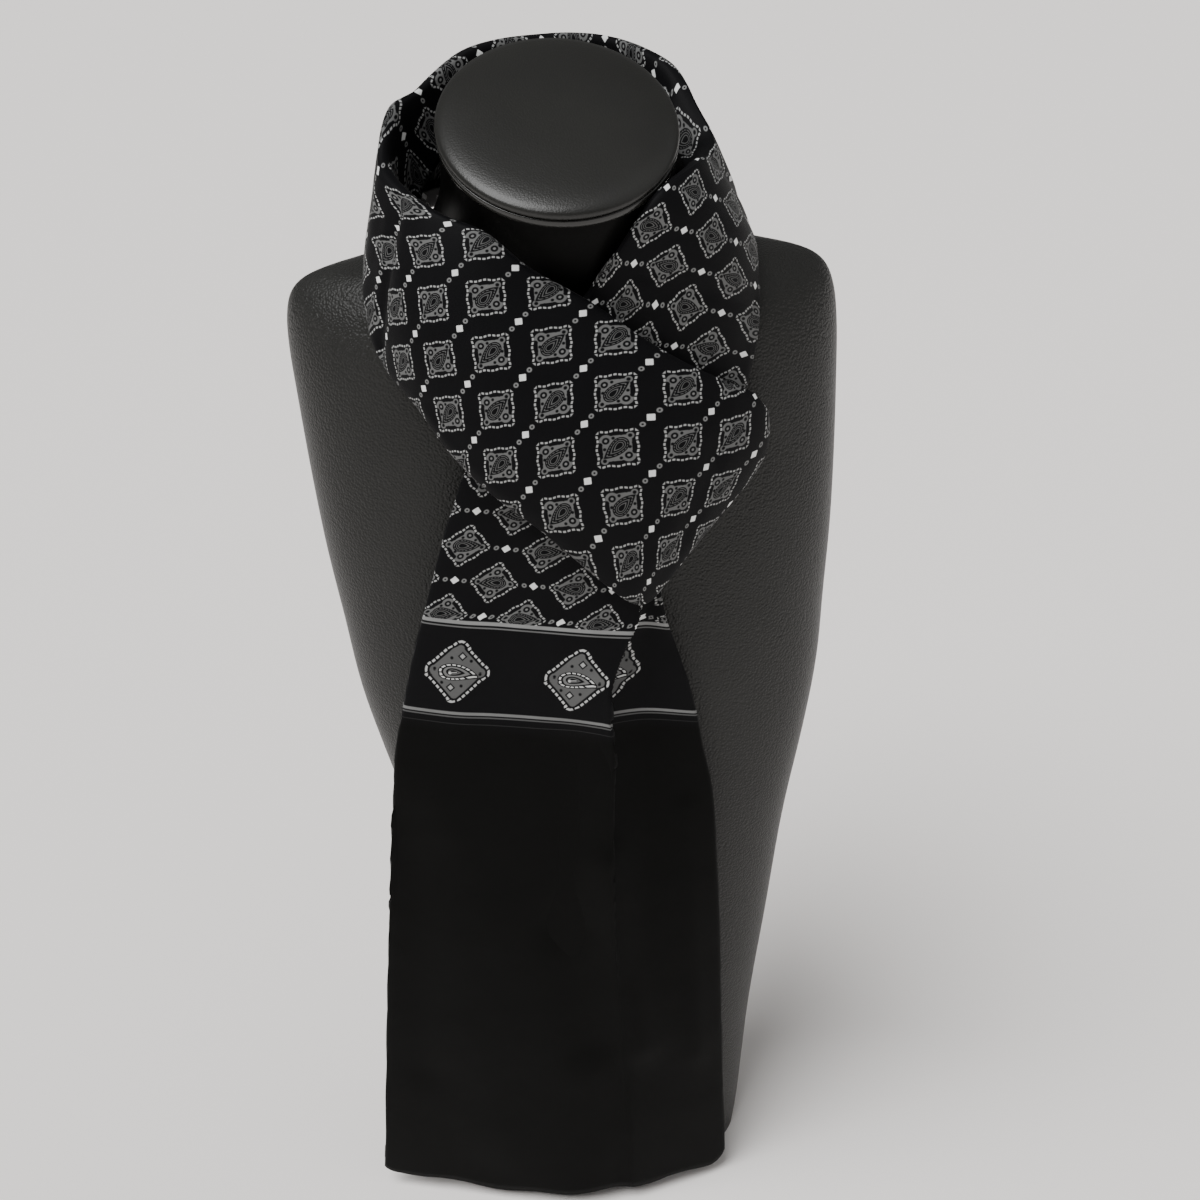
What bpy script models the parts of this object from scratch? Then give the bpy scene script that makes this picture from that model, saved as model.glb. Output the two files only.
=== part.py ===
"""A long printed scarf wound once round the neck of a limbless display bust.

Metres, +Z up. The bust faces -Y, and the origin is the middle of its flat base.
The tables below are in millimetres, and MM turns them into metres.
"""

import math

import bpy
import numpy as np
from mathutils import Vector

MM = 0.001

# Cloth
WALL = 2.0 * MM
END_WALL = 2.6 * MM
SEAM_GAP = 0.9 * MM

# Fold sizes, in millimetres
CREST_ROLL = 3.5
HEM_RETURN = 4.0

# The face's bulge is flatter than a sine; the inner edge of a crest stays this far along
BULGE_POWER = 0.7
INNER_SHARE = 0.7

# How finely the sheets are cut
CURVE_SAMPLES = 97
NEAR_PLACE = 0.05
INNER_STEPS = 3
FACE_STEPS = 11
TUCK_STEPS = 4
FACE_PARTS = (0.0, 0.06, 0.25, 0.5, 0.75, 0.94, 1.0)
END_LINES_DOWN = 28
END_LINES_ACROSS = 28
HIDDEN_LINES = 9

# The vertical line that the wound cloth bulges away from, in millimetres
WINDING_X = -24.0
WINDING_Y = 10.0

# Bust
BUST_LEAN = -0.034
RING_SEGMENTS = 44
CAP_TILT = 31.0
CAP_HALF_WIDTH = 69.5
CAP_HALF_LENGTH = 76.0
CAP_Y = -55.0
CAP_Z = 768.0
OVAL = 2.0

# Columns: z y half_width front back tilt squareness
BUST_ROWS = [
    (0, 0, 86, 62, 60, 0, 2.5),
    (30, 0, 91, 65, 64, 0, 2.5),
    (115, 0, 102, 70, 69, 0, 2.5),
    (200, 0, 117, 74, 73, 0, 2.5),
    (280, 0, 131, 77, 78, 0, 2.5),
    (350, 0, 147, 79, 83, 0, 2.5),
    (400, 0, 157, 80, 87, 0, 2.4),
    (450, 0, 162, 80, 90, 0, 2.4),
    (500, 0, 167, 80, 93, 0, 2.4),
    (550, 0, 170, 79, 94, 0, 2.4),
    (600, 0, 172, 78, 92, 0, 2.3),
    (635, 0, 173, 77, 88, 0, 2.1),
    (658, 0, 171, 74, 82, 0, 1.9),
    (672, 0, 164, 71, 76, 0, 1.7),
    (681, -2, 148, 70, 72, 0, 1.5),
    (687, -5, 120, 72, 72, 6, 1.5),
    (695, -10, 92, 75, 72, 16, 1.8),
    (708, -18, 77, 72, 70, 25, 2.0),
    (728, -30, 70, 73, 71, 29, 2.0),
    (754, -46, 68, 73.5, 73.5, 31, 2.0),
    (763.2, -51.4, 68.3, 74.5, 74.5, 31, 2.0),
]

# The neck's rim and cap: how far each ring lies in from the cap's edge, and how high
RIM_RINGS = [(0.8, -5.65), (0.0, -4.4), (0.0, -1.6), (0.8, -0.8)]
CAP_RINGS = [(1.6, -0.5), (0.2, 0.6), (0.0, 1.8), (1.4, 3.6), (6.0, 5.4), (20.0, 7.0), (45.0, 8.0)]

# The wound cloth, a row for each section across it, from under the crossing, up the right
# of the neck, round behind it, down across the front to the fold at the right edge, and
# back behind the front end
# Columns: crest_x crest_y crest_z hem_x hem_y hem_z bulge sweep inner_in inner_down roll
WOUND_ROWS = [
    (-66, -104, 632, 50, -88, 562, 4, 0, 5, 6, 2.0),
    (-42, -98, 658, 68, -84, 587, 6, 0, 5, 6, 2.0),
    (-15, -94, 681, 79, -77, 609, 8, 0, 5, 6, 2.5),
    (3, -107, 709, 87, -68, 633, 9, 0, 5, 6, 2.5),
    (25, -106, 738, 91, -61, 650, 9, 0, 6, 7, 2.5),
    (50, -79, 748, 92, -56, 671, 6, 0, 9, 8, 2.5),
    (64, -48, 748, 92, -37, 689, 4, 0, 18, 7, 2.5),
    (69, -20, 753, 90, -8, 698, 3, 0, 21, 9, 2.5),
    (61, 5, 773, 82, 24, 701, 4, 0, 19, 14, 2.5),
    (50, 28, 791, 64, 62, 706, 4, 0, 14, 30, 2.5),
    (16, 40, 805, 24, 88, 705, 5, 0, 8, 36, 2.5),
    (-26, 42, 808, -28, 96, 705, 6, 0, 8, 36, 2.5),
    (-72, 26, 804, -78, 78, 705, 5, 0, 8, 38, 3.5),
    (-104, 6, 785, -110, 44, 706, 4, 0, 6, 50, 3.5),
    (-122, -12, 776, -130, 10, 703, 3, 0, 13, 60, 3.5),
    (-129, -38, 752, -142, -34, 696, 0.5, 0, 17, 42, 2.5),
    (-118, -66, 739, -142, -64, 659, 4, 0, 12, 24, 2.5),
    (-98, -90, 730, -133, -79, 638, 9, 0, 7, 12, 3.0),
    (-73, -102, 721, -118, -96, 622, 12, 0, 6, 8, 3.5),
    (-48, -105, 700, -99, -111, 596, 13, 0, 6, 6, 3.5),
    (-16, -104, 680, -76, -121, 573, 14, 0, 6, 6, 3.5),
    (14, -104, 657, -46, -125, 548, 14, 0, 6, 6, 3.5),
    (42, -100, 638, -13, -122, 517, 13, -4, 6, 6, 3.5),
    (68, -93, 623, 10, -117, 499, 11, -12, 6, 6, 3.0),
    (85, -84, 611, 22, -107, 492, 8, -22, 5, 5, 2.0),
    (83, -76, 601, 29, -95, 499, 5, -20, 2, 2, 0.6),
    (74, -75, 589, 30, -86, 505, 2, -8, 2, 2, 0.6),
    (56, -78.5, 588, 10, -85, 507, 1, -3, 2, 2, 0.6),
    (10, -84, 590, -30, -85, 514, 1, 0, 2, 2, 0.6),
    (-40, -84, 590, -76, -84, 524, 1, 0, 2, 2, 0.6),
]
# The stretches of the wound cloth: first row, last row and how many strips it is cut in
RIGHT_SIDE = (0, 9, 18)
NECK_BACK = (9, 13, 13)
CROSSING = (13, 27, 32)
BEHIND = (27, 29, 7)

# The front end, which hangs from under the crossing: the x and y of named lines that
# run down the cloth, and how far a line across it falls for each millimetre to the right
# Columns: height slope back_left left middle crest floor right back_right
END_ROWS = [
    (12, 0, (-180, -57), (-175, -61), (-56, -96), (-12, -97), (4, -96), (63, -78), (69, -75)),
    (70, 0, (-174, -61), (-171, -65), (-56, -96), (-12, -97), (4, -96), (62, -80), (67, -76)),
    (150, 0, (-165, -65), (-165, -71), (-56, -97), (-12, -98), (8, -95), (61, -83), (64, -77)),
    (225, 0, (-155, -70), (-159, -77), (-56, -98), (-14, -101), (12, -92), (61, -86), (59, -78)),
    (287, -.02, (-145, -74), (-153, -82), (-56, -99), (-13, -105), (14, -91), (59, -89), (54, -81)),
    (345, -.05, (-135, -76), (-148, -86), (-54, -100), (-11, -108), (13, -91), (56, -91), (51, -83)),
    (383, -.07, (-126, -78), (-144, -88), (-52, -101), (-9, -109), (13, -91), (50, -92), (44, -84)),
    (410, -.08, (-117, -79), (-138, -89), (-50, -102), (-9, -110), (11, -92), (46, -93), (39, -85)),
    (437, -.09, (-109, -80), (-132, -90), (-46, -103), (-8, -110), (12, -93), (40, -94), (34, -86)),
    (465, -.1, (-101, -82), (-124, -91), (-42, -104), (1, -108), (13, -95), (32, -95), (27, -87)),
    (487, -.12, (-95, -83), (-117, -92), (-38, -104), (9, -105), (14, -97), (26, -97), (24, -88)),
    (530, -.25, (-85, -88), (-101, -95), (-34, -105), (12, -103), (18, -98), (24, -96), (21, -88)),
    (569, -.45, (-75, -95), (-81, -99), (-24, -105), (14, -102), (22, -99), (32, -94), (30, -87)),
    (597.4, -.603, (-66, -103), (-58, -105), (-10, -101), (14, -98), (22, -96), (42, -90), (48, -88)),
]

# The hidden end, which hangs behind the front end
# Columns: z slope x half_width y sag
HIDDEN_ROWS = [
    (514.4, -0.2, -44, 34, -84, 0),
    (450, -0.1, -48, 40, -84.5, 1),
    (330, 0, -54, 48, -85, 4),
    (215, 0, -56, 50, -85, 5),
]


def material(name, colour, roughness, metallic=0.0):
    made = bpy.data.materials.new(name)
    made.use_nodes = True
    shader = made.node_tree.nodes["Principled BSDF"]
    shader.inputs["Base Color"].default_value = (*colour, 1.0)
    shader.inputs["Roughness"].default_value = roughness
    shader.inputs["Metallic"].default_value = metallic
    return made


def table_at(rows, place):
    """The row at a place between the table's rows, along a smooth curve through them."""
    rows = np.asarray(rows, float)
    last = len(rows) - 1
    low = min(int(place), last - 1)
    part = place - low
    before = rows[low - 1] if low > 0 else 2 * rows[0] - rows[1]
    after = rows[low + 2] if low + 2 <= last else 2 * rows[last] - rows[last - 1]
    start = rows[low]
    end = rows[low + 1]
    return 0.5 * (
        2 * start
        + (end - before) * part
        + (2 * before - 5 * start + 4 * end - after) * part**2
        + (3 * start - before - 3 * end + after) * part**3
    )


def evenly(points, count):
    """Count + 1 points at even steps along a smooth curve through the points."""
    fine = np.array([table_at(points, place) for place in np.linspace(0, len(points) - 1, CURVE_SAMPLES)])
    steps = np.linalg.norm(np.diff(fine, axis=0), axis=1)
    run = np.concatenate([[0], np.cumsum(steps)])
    wanted = np.linspace(0, run[-1], count + 1)
    return np.stack([np.interp(wanted, run, fine[:, axis]) for axis in range(3)], axis=1)


def wound_section(row):
    """Points across the wound cloth: up its inner side, over the crest and down to the hem."""
    crest = row[0:3]
    hem = row[3:6]
    bulge, sweep, inner_in, inner_down, roll = row[6:11]
    middle = (crest + hem) / 2
    away = np.array([middle[0] - WINDING_X, middle[1] - WINDING_Y, 0.0])
    away /= np.linalg.norm(away)
    across = (hem - crest) / np.linalg.norm(hem - crest)
    onward = np.cross(across, away)
    onward /= np.linalg.norm(onward)
    inner_end = crest - away * inner_in - np.array([0, 0, inner_down])
    inner_top = crest - away * min(2 * CREST_ROLL, INNER_SHARE * inner_in) + across * min(roll, 1.0)
    face = []
    for part in FACE_PARTS:
        swell = math.sin(math.pi * part) ** BULGE_POWER
        swept = math.sin(math.pi * math.sqrt(part))
        face.append(crest + (hem - crest) * part + away * bulge * swell + onward * sweep * swept)
    tuck = [
        hem,
        hem - away * roll + across * roll * 0.6,
        hem - away * 2 * roll - across * 0.3 * roll,
        hem - away * 2 * roll - across * HEM_RETURN * roll,
    ]
    inner = evenly(np.array([inner_end, (inner_end + inner_top) / 2, inner_top, crest]), INNER_STEPS)
    outer = evenly(np.array(face), FACE_STEPS)
    under = evenly(np.array(tuck), TUCK_STEPS)
    return np.concatenate([inner, outer[1:], under[1:]])


def grid_object(name, sections, wall, finish, collection):
    """An open sheet through the sections, given its wall by Solidify."""
    across = len(sections[0])
    points = [Vector(point) * MM for section in sections for point in section]
    faces = []
    for line in range(len(sections) - 1):
        for step in range(across - 1):
            corner = line * across + step
            faces.append((corner, corner + 1, corner + across + 1, corner + across))
    mesh = bpy.data.meshes.new(name)
    mesh.from_pydata(points, [], faces)
    mesh.materials.append(finish)
    mesh.shade_smooth()
    made = bpy.data.objects.new(name, mesh)
    collection.objects.link(made)
    thickness = made.modifiers.new("wall", "SOLIDIFY")
    thickness.thickness = wall
    thickness.offset = -1.0
    return made


def wound_stretch(name, stretch, finish, collection):
    """One stretch of the wound scarf, half the seam's gap short at each end."""
    rows = np.array(WOUND_ROWS, float)
    first, last, lines = stretch
    places = np.linspace(first, last, lines + 1)
    places[0] += half_gap(rows, first)
    places[-1] -= half_gap(rows, last)
    sections = [wound_section(table_at(rows, place)) for place in places]
    return grid_object(name, sections, WALL, finish, collection)


def half_gap(rows, place):
    """Half the seam's gap, as a share of the step between the table's rows."""
    start = max(place - NEAR_PLACE, 0)
    end = min(place + NEAR_PLACE, len(rows) - 1)
    low = wound_section(table_at(rows, start))
    high = wound_section(table_at(rows, end))
    steps = np.linalg.norm(high - low, axis=1)
    return SEAM_GAP / MM / 2 * (end - start) / np.min(steps)


def front_end(finish, collection):
    rows = [(row[0], row[1], *(value for place in row[2:] for value in place)) for row in END_ROWS]
    sections = []
    for place in np.linspace(0, len(rows) - 1, END_LINES_DOWN + 1):
        row = table_at(rows, place)
        centre = row[6]
        line = []
        for index in range(2, len(row), 2):
            x = row[index]
            line.append((x, row[index + 1], row[0] + row[1] * (x - centre)))
        sections.append(evenly(np.array(line), END_LINES_ACROSS))
    return grid_object("scarf_front_end", sections, END_WALL, finish, collection)


def hidden_end(finish, collection):
    sections = []
    for place in np.linspace(0, len(HIDDEN_ROWS) - 1, HIDDEN_LINES):
        z, slope, x, half_width, y, sag = table_at(HIDDEN_ROWS, place)
        line = []
        for part in np.linspace(-1, 1, HIDDEN_LINES):
            line.append((x + half_width * part, y + sag * part * part, z + slope * half_width * part))
        sections.append(np.array(line))
    return grid_object("scarf_hidden_end", sections, WALL, finish, collection)


def ring(row, segments=RING_SEGMENTS):
    """One ring of the bust: a rounded oval, tilted forward."""
    z, y, half_width, front, back, tilt, squareness = row
    lean = math.radians(tilt)
    points = []
    for step in range(segments):
        angle = 2 * math.pi * step / segments
        cosine = math.cos(angle)
        sine = math.sin(angle)
        x = half_width * math.copysign(abs(cosine) ** (2 / squareness), cosine)
        reach = back if sine > 0 else front
        depth = reach * math.copysign(abs(sine) ** (2 / squareness), sine)
        height = z + depth * math.sin(lean)
        points.append((x + BUST_LEAN * height, y + depth * math.cos(lean), height))
    return points


def loft(name, rings, finish, collection):
    """A closed solid through rings of equal count, capped at both ends."""
    count = len(rings[0])
    points = [Vector(point) * MM for one in rings for point in one]
    faces = [tuple(reversed(range(count)))]
    for line in range(len(rings) - 1):
        for step in range(count):
            following = (step + 1) % count
            low = line * count
            high = low + count
            faces.append((low + step, low + following, high + following, high + step))
    top = (len(rings) - 1) * count
    faces.append(tuple(range(top, top + count)))
    mesh = bpy.data.meshes.new(name)
    mesh.from_pydata(points, [], faces)
    mesh.materials.append(finish)
    mesh.shade_smooth()
    made = bpy.data.objects.new(name, mesh)
    collection.objects.link(made)
    return made


def cap_ring(inset, rise):
    """A ring parallel to the top of the neck, in from its edge and up along its slope."""
    lean = math.radians(CAP_TILT)
    y = CAP_Y - rise * math.sin(lean)
    z = CAP_Z + rise * math.cos(lean)
    reach = CAP_HALF_LENGTH - inset
    return ring((z, y, CAP_HALF_WIDTH - inset, reach, reach, CAP_TILT, OVAL))


def clear_scene():
    for old in list(bpy.data.objects):
        bpy.data.objects.remove(old, do_unlink=True)


def main():
    clear_scene()
    collection = bpy.data.collections.new("scarf_on_bust")
    bpy.context.scene.collection.children.link(collection)
    print_cloth = material("printed_cloth", (0.012, 0.012, 0.018), 0.75)
    end_cloth = material("end_cloth", (0.01, 0.01, 0.01), 0.75)
    leather = material("bust_leather", (0.03, 0.03, 0.028), 0.5)
    satin = material("bust_cap", (0.04, 0.04, 0.038), 0.4)

    torso_rings = [ring(table_at(BUST_ROWS, place)) for place in range(len(BUST_ROWS))]
    loft("bust_torso", torso_rings, leather, collection)
    loft("bust_neck_rim", [cap_ring(inset, rise) for inset, rise in RIM_RINGS], satin, collection)
    loft("bust_neck_cap", [cap_ring(inset, rise) for inset, rise in CAP_RINGS], satin, collection)

    wound_stretch("scarf_right_side", RIGHT_SIDE, print_cloth, collection)
    wound_stretch("scarf_neck_back", NECK_BACK, print_cloth, collection)
    wound_stretch("scarf_crossing", CROSSING, print_cloth, collection)
    wound_stretch("scarf_fold_behind", BEHIND, print_cloth, collection)
    front_end(end_cloth, collection)
    hidden_end(end_cloth, collection)


main()
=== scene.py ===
"""A printed scarf wound round a limbless display bust, dressed for a studio picture.

The tables are in millimetres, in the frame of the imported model: +Z up, the bust facing -Y,
the origin in the middle of its base. Places along the wound cloth count the rows of its table.
"""

import math

import bmesh
import bpy
import numpy as np
from bpy.props import FloatProperty, FloatVectorProperty, IntProperty, PointerProperty
from mathutils import Matrix, Vector, noise


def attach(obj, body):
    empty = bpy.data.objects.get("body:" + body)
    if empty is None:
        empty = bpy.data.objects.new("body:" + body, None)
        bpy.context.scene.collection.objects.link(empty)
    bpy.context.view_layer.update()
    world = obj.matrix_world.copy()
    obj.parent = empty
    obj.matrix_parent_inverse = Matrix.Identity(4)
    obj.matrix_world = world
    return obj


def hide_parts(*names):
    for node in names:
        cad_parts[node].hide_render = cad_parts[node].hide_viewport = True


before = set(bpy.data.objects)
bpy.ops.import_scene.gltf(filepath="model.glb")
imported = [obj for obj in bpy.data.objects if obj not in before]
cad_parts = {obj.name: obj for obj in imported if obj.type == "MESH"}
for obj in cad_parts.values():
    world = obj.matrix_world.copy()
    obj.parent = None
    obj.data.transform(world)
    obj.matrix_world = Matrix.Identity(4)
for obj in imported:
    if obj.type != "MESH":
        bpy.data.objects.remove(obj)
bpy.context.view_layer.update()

bl_info = {
    "name": "Wound scarf on a display bust",
    "version": (1, 0, 0),
    "blender": (4, 5, 0),
    "location": "View3D > Sidebar > Scarf",
    "description": "Builds the wound scarf, its hanging ends, the leather bust and the studio stage",
    "category": "Object",
}

MM = 0.001
REPEAT = 50.0

# The wound cloth: a row for each section across it, from under the crossing, up the right of
# the neck, round behind it, down across the front to the fold at the right and back behind
WOUND_ROWS = [
    # crest_x, crest_y, crest_z, hem_x, hem_y, hem_z, bulge, sweep, inner_in, inner_down, roll
    (-66, -104, 632, 50, -88, 562, 4, 0, 5, 6, 2.0),
    (-42, -98, 658, 68, -84, 587, 6, 0, 5, 6, 2.0),
    (-15, -94, 681, 79, -77, 609, 8, 0, 5, 6, 2.5),
    (3, -107, 709, 87, -68, 633, 9, 0, 5, 6, 2.5),
    (25, -106, 738, 91, -61, 650, 9, 0, 6, 7, 2.5),
    (50, -79, 748, 92, -56, 671, 6, 0, 9, 8, 2.5),
    (64, -48, 748, 92, -37, 689, 4, 0, 18, 7, 2.5),
    (69, -20, 753, 90, -8, 698, 3, 0, 21, 9, 2.5),
    (61, 5, 773, 82, 24, 701, 4, 0, 19, 14, 2.5),
    (50, 28, 791, 64, 62, 706, 4, 0, 14, 30, 2.5),
    (16, 40, 805, 24, 88, 705, 5, 0, 8, 36, 2.5),
    (-26, 42, 808, -28, 96, 705, 6, 0, 8, 36, 2.5),
    (-72, 26, 804, -78, 78, 705, 5, 0, 8, 38, 3.5),
    (-104, 6, 785, -110, 44, 706, 4, 0, 6, 50, 3.5),
    (-122, -12, 776, -130, 10, 703, 3, 0, 13, 60, 3.5),
    (-129, -38, 752, -142, -34, 696, 0.5, 0, 17, 42, 2.5),
    (-118, -66, 739, -142, -64, 659, 4, 0, 12, 24, 2.5),
    (-98, -90, 730, -133, -79, 638, 9, 0, 7, 12, 3.0),
    (-73, -102, 721, -118, -96, 622, 12, 0, 6, 8, 3.5),
    (-48, -105, 700, -99, -111, 596, 13, 0, 6, 6, 3.5),
    (-16, -104, 680, -76, -121, 573, 14, 0, 6, 6, 3.5),
    (14, -104, 657, -46, -125, 548, 14, 0, 6, 6, 3.5),
    (42, -100, 638, -13, -122, 514, 13, -4, 6, 6, 3.5),
    (68, -93, 623, 6, -117, 496, 11, -12, 6, 6, 3.0),
    (86, -84, 611, 18, -107, 492, 8, -25, 5, 5, 2.0),
    (84, -76, 601, 16, -95, 499, 5, -18, 2, 2, 0.6),
    (74, -75, 589, 14, -86, 505, 2, -4, 2, 2, 0.6),
    (56, -78.5, 588, -2, -85, 507, 1, -2, 2, 2, 0.6),
    (10, -84, 590, -30, -85, 514, 1, 0, 2, 2, 0.6),
    (-40, -84, 590, -76, -84, 524, 1, 0, 2, 2, 0.6),
]

# Where the cloth of each of those rows lies on the flat print, across and along it: at the
# crest, at the middle of the section and at the hem, and its step for each millimetre up the
# inner side. A least-squares fit to the places of the photograph's white squares gave most of
# these values, and the others were set one by one
PRINT_ROWS = [
    # crest_u, crest_v, middle_u, middle_v, hem_u, hem_v, inner_u, inner_v
    (49, -640, -34, -666, -96, -689, -0.95, -0.30),
    (42, -605, -42, -633, -104, -660, -0.94, -0.30),
    (34, -570, -50, -601, -114, -632, -0.93, -0.32),
    (14, -541, -58, -572, -106, -596, -0.92, -0.38),
    (5, -505, -63, -540, -102, -574, -1.03, -0.33),
    (-23, -482, -79, -513, -112, -547, -1.32, -0.19),
    (-42, -470, -86, -489, -121, -508, -1.35, -0.10),
    (-48, -455, -80, -470, -110, -486, -1.30, -0.10),
    (-38, -430, -69, -443, -100, -459, -1.15, 0.25),
    (-16, -402, -55, -413, -93, -427, -1.00, 0.10),
    (-4, -353, -57, -369, -104, -384, -0.85, -0.27),
    (-7, -303, -58, -321, -102, -337, -0.93, -0.22),
    (-9, -250, -60, -269, -104, -287, -0.95, -0.26),
    (-6, -206, -47, -225, -85, -245, -1.00, -0.30),
    (1, -181, -40, -195, -79, -210, -1.05, -0.22),
    (2, -155, -33, -158, -72, -167, -1.20, -0.02),
    (10, -131, -63, -130, -108, -125, -1.50, 0.03),
    (4, -109, -65, -100, -122, -92, -1.62, 0.21),
    (4, -80, -56, -64, -119, -53, -1.18, 0.32),
    (5, -44, -59, -24, -122, -10, -0.97, 0.34),
    (8, -4, -55, 18, -119, 34, -0.90, 0.38),
    (10, 35, -53, 64, -116, 76, -0.84, 0.50),
    (14, 68, -51, 106, -121, 117, -0.74, 0.66),
    (24, 102, -39, 143, -118, 149, -0.62, 0.78),
    (28, 129, -23, 176, -111, 162, -0.38, 0.93),
    (29, 144, -26, 185, -99, 174, -0.55, 0.83),
    (31, 161, -25, 198, -94, 188, -0.62, 0.79),
    (30, 181, -28, 210, -92, 209, -0.77, 0.64),
    (30, 229, -31, 237, -92, 249, -0.99, 0.12),
    (30, 280, -31, 288, -91, 298, -0.99, 0.12),
]

# Soft troughs and ridges in the wound cloth: a line from one place to another (a row of the
# table, and how far from crest to hem), its half width and how deep it is
WOUND_CREASES = [
    # row, part, row_2, part_2, half_width, depth
    (16.1, 0.05, 16.7, 0.95, 5, 3.0),
    (15.3, 0.10, 15.7, 0.95, 9, -1.5),
    (17.6, 0.02, 18.9, 0.98, 16, 1.6),
    (19.4, 0.10, 22.4, 0.75, 20, 1.4),
    (20.6, 0.02, 23.0, 0.45, 12, -1.2),
    (22.8, 0.30, 23.4, 0.98, 8, 1.2),
    (2.6, 0.20, 4.4, 0.98, 7, 2.2),
    (3.9, 0.05, 5.6, 0.80, 9, -1.6),
    (5.9, 0.00, 6.9, 0.95, 6, 1.8),
    (7.9, 0.10, 9.2, 0.90, 10, 1.6),
    (10.4, 0.10, 10.0, 0.90, 12, 2.0),
    (11.6, 0.20, 12.2, 0.95, 12, -1.6),
    (13.2, 0.05, 13.9, 0.90, 9, 1.8),
]

# The front end: the x and y of lines that run down the cloth, and how far a line across it
# falls for each millimetre to the right
END_ROWS = [
    # height, slope, and x and y of: back_left, left, middle, crest, under, floor, right, back_right
    (12, 0.0, -180, -57, -175, -61, -56, -96, -12, -97, -6, -97, 4, -96, 63, -78, 69, -75),
    (70, 0.0, -174, -61, -171, -65, -56, -96, -12, -97, -6, -97, 4, -96, 62, -80, 67, -76),
    (150, 0.0, -165, -65, -165, -71, -56, -97, -12, -98, -7, -97, 8, -95, 61, -83, 64, -77),
    (225, 0.0, -155, -70, -159, -77, -56, -98, -14, -101, -9, -98, 12, -92, 61, -86, 59, -78),
    (287, -.02, -145, -74, -153, -82, -56, -99, -13, -106, -12, -99, 14, -90, 59, -89, 54, -81),
    (345, -.05, -135, -76, -148, -86, -54, -100, -11, -109, -16, -100, 13, -89, 56, -91, 51, -83),
    (383, -.07, -126, -78, -144, -88, -52, -101, -9, -111, -18, -101, 12, -89, 50, -92, 44, -84),
    (410, -.08, -117, -79, -138, -89, -50, -102, -10, -111, -21, -102, 11, -89, 46, -92, 39, -85),
    (437, -.09, -109, -80, -132, -90, -46, -103, -9, -111, -21, -102, 11, -90, 40, -93, 34, -86),
    (465, -.1, -101, -82, -124, -91, -42, -104, 0, -109, -10, -102, 13, -92, 32, -94, 27, -87),
    (487, -.12, -95, -83, -117, -92, -38, -104, 9, -107, 0, -102, 14, -95, 26, -97, 24, -88),
    (530, -.25, -85, -88, -101, -95, -34, -105, 13, -105, 12, -100, 18, -98, 24, -96, 21, -88),
    (569, -.45, -75, -95, -81, -99, -24, -105, 14, -103, 17, -100, 22, -99, 32, -94, 30, -87),
    (597.4, -.603, -66, -103, -58, -105, -10, -101, 14, -98, 18, -97, 22, -96, 42, -90, 48, -88),
]

# Soft troughs and ridges in the front end
END_CREASES = [
    # x, z, x_2, z_2, half_width, depth
    (-34, 390, -44, 250, 16, -3.5),
    (-44, 250, -30, 150, 18, -3.0),
    (-14, 300, 8, 140, 14, 3.0),
    (-92, 470, -128, 330, 20, 2.0),
    (-70, 560, -90, 430, 14, -1.2),
    (-140, 330, -150, 120, 18, -2.2),
    (-96, 250, -104, 60, 24, 1.2),
    (40, 330, 48, 120, 9, 1.4),
]

# The hidden end: a row for each line across it, from its top down
HIDDEN_ROWS = [
    # z, slope, x, half_width, y, sag
    (514.4, -0.2, -44, 34, -84, 0),
    (450, -0.1, -48, 40, -84.5, 1),
    (330, 0, -54, 48, -85, 4),
    (215, 0, -56, 50, -85, 5),
]

# The bust's lean to its side for each unit up, and the cap's tilt, size and place
BUST_LEAN = -0.034
CAP_TILT = 31.0
CAP_HALF_WIDTH = 69.5
CAP_HALF_LENGTH = 76.0
CAP_Y = -55.0
CAP_Z = 768.0

# Where the neck's smooth leather starts and how far it reaches to each side, in metres. Its dark
# colour is partly the smooth black leather and partly painted shade for the shade between the collars
NECK_FROM = 0.672
NECK_REACH = 0.094

# The bust: rounded ovals from its base to the slanted top of its neck
BUST_STEPS = 5
BUST_ROWS = [
    # z, y, half_width, front, back, tilt, squareness
    (0, 0, 86, 62, 60, 0, 2.5),
    (30, 0, 91, 65, 64, 0, 2.5),
    (115, 0, 102, 70, 69, 0, 2.5),
    (200, 0, 117, 74, 73, 0, 2.5),
    (280, 0, 131, 77, 78, 0, 2.5),
    (350, 0, 147, 79, 83, 0, 2.5),
    (400, 0, 157, 80, 87, 0, 2.4),
    (450, 0, 162, 80, 90, 0, 2.4),
    (500, 0, 167, 80, 93, 0, 2.4),
    (550, 0, 170, 79, 94, 0, 2.4),
    (600, 0, 172, 78, 92, 0, 2.3),
    (635, 0, 173, 77, 88, 0, 2.1),
    (658, 0, 171, 74, 82, 0, 1.9),
    (672, 0, 164, 71, 76, 0, 1.7),
    (681, -2, 148, 70, 72, 0, 1.5),
    (687, -5, 120, 72, 72, 6, 1.5),
    (695, -10, 92, 75, 72, 16, 1.8),
    (708, -18, 77, 72, 70, 25, 2.0),
    (728, -30, 70, 73, 71, 29, 2.0),
    (754, -46, 68, 73.5, 73.5, 31, 2.0),
    (763.2, -51.4, 68.3, 74.5, 74.5, 31, 2.0),
]

# The rim's and the cap's rings: how far in from the cap's outline, and how far above its foot
RIM_RINGS = [(0.8, -5.65), (0.2, -5.2), (0.0, -4.4), (0.0, -1.6), (0.4, -1.0), (1.2, -0.8)]
CAP_RINGS = [
    (2.6, -0.5), (1.2, -0.4), (0.3, 0.3), (0.0, 1.6), (0.5, 3.0), (2.2, 4.4), (6.0, 5.6),
    (13.0, 6.7), (22.0, 7.3), (34.0, 7.8), (48.0, 8.1), (60.0, 8.2),
]

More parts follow.
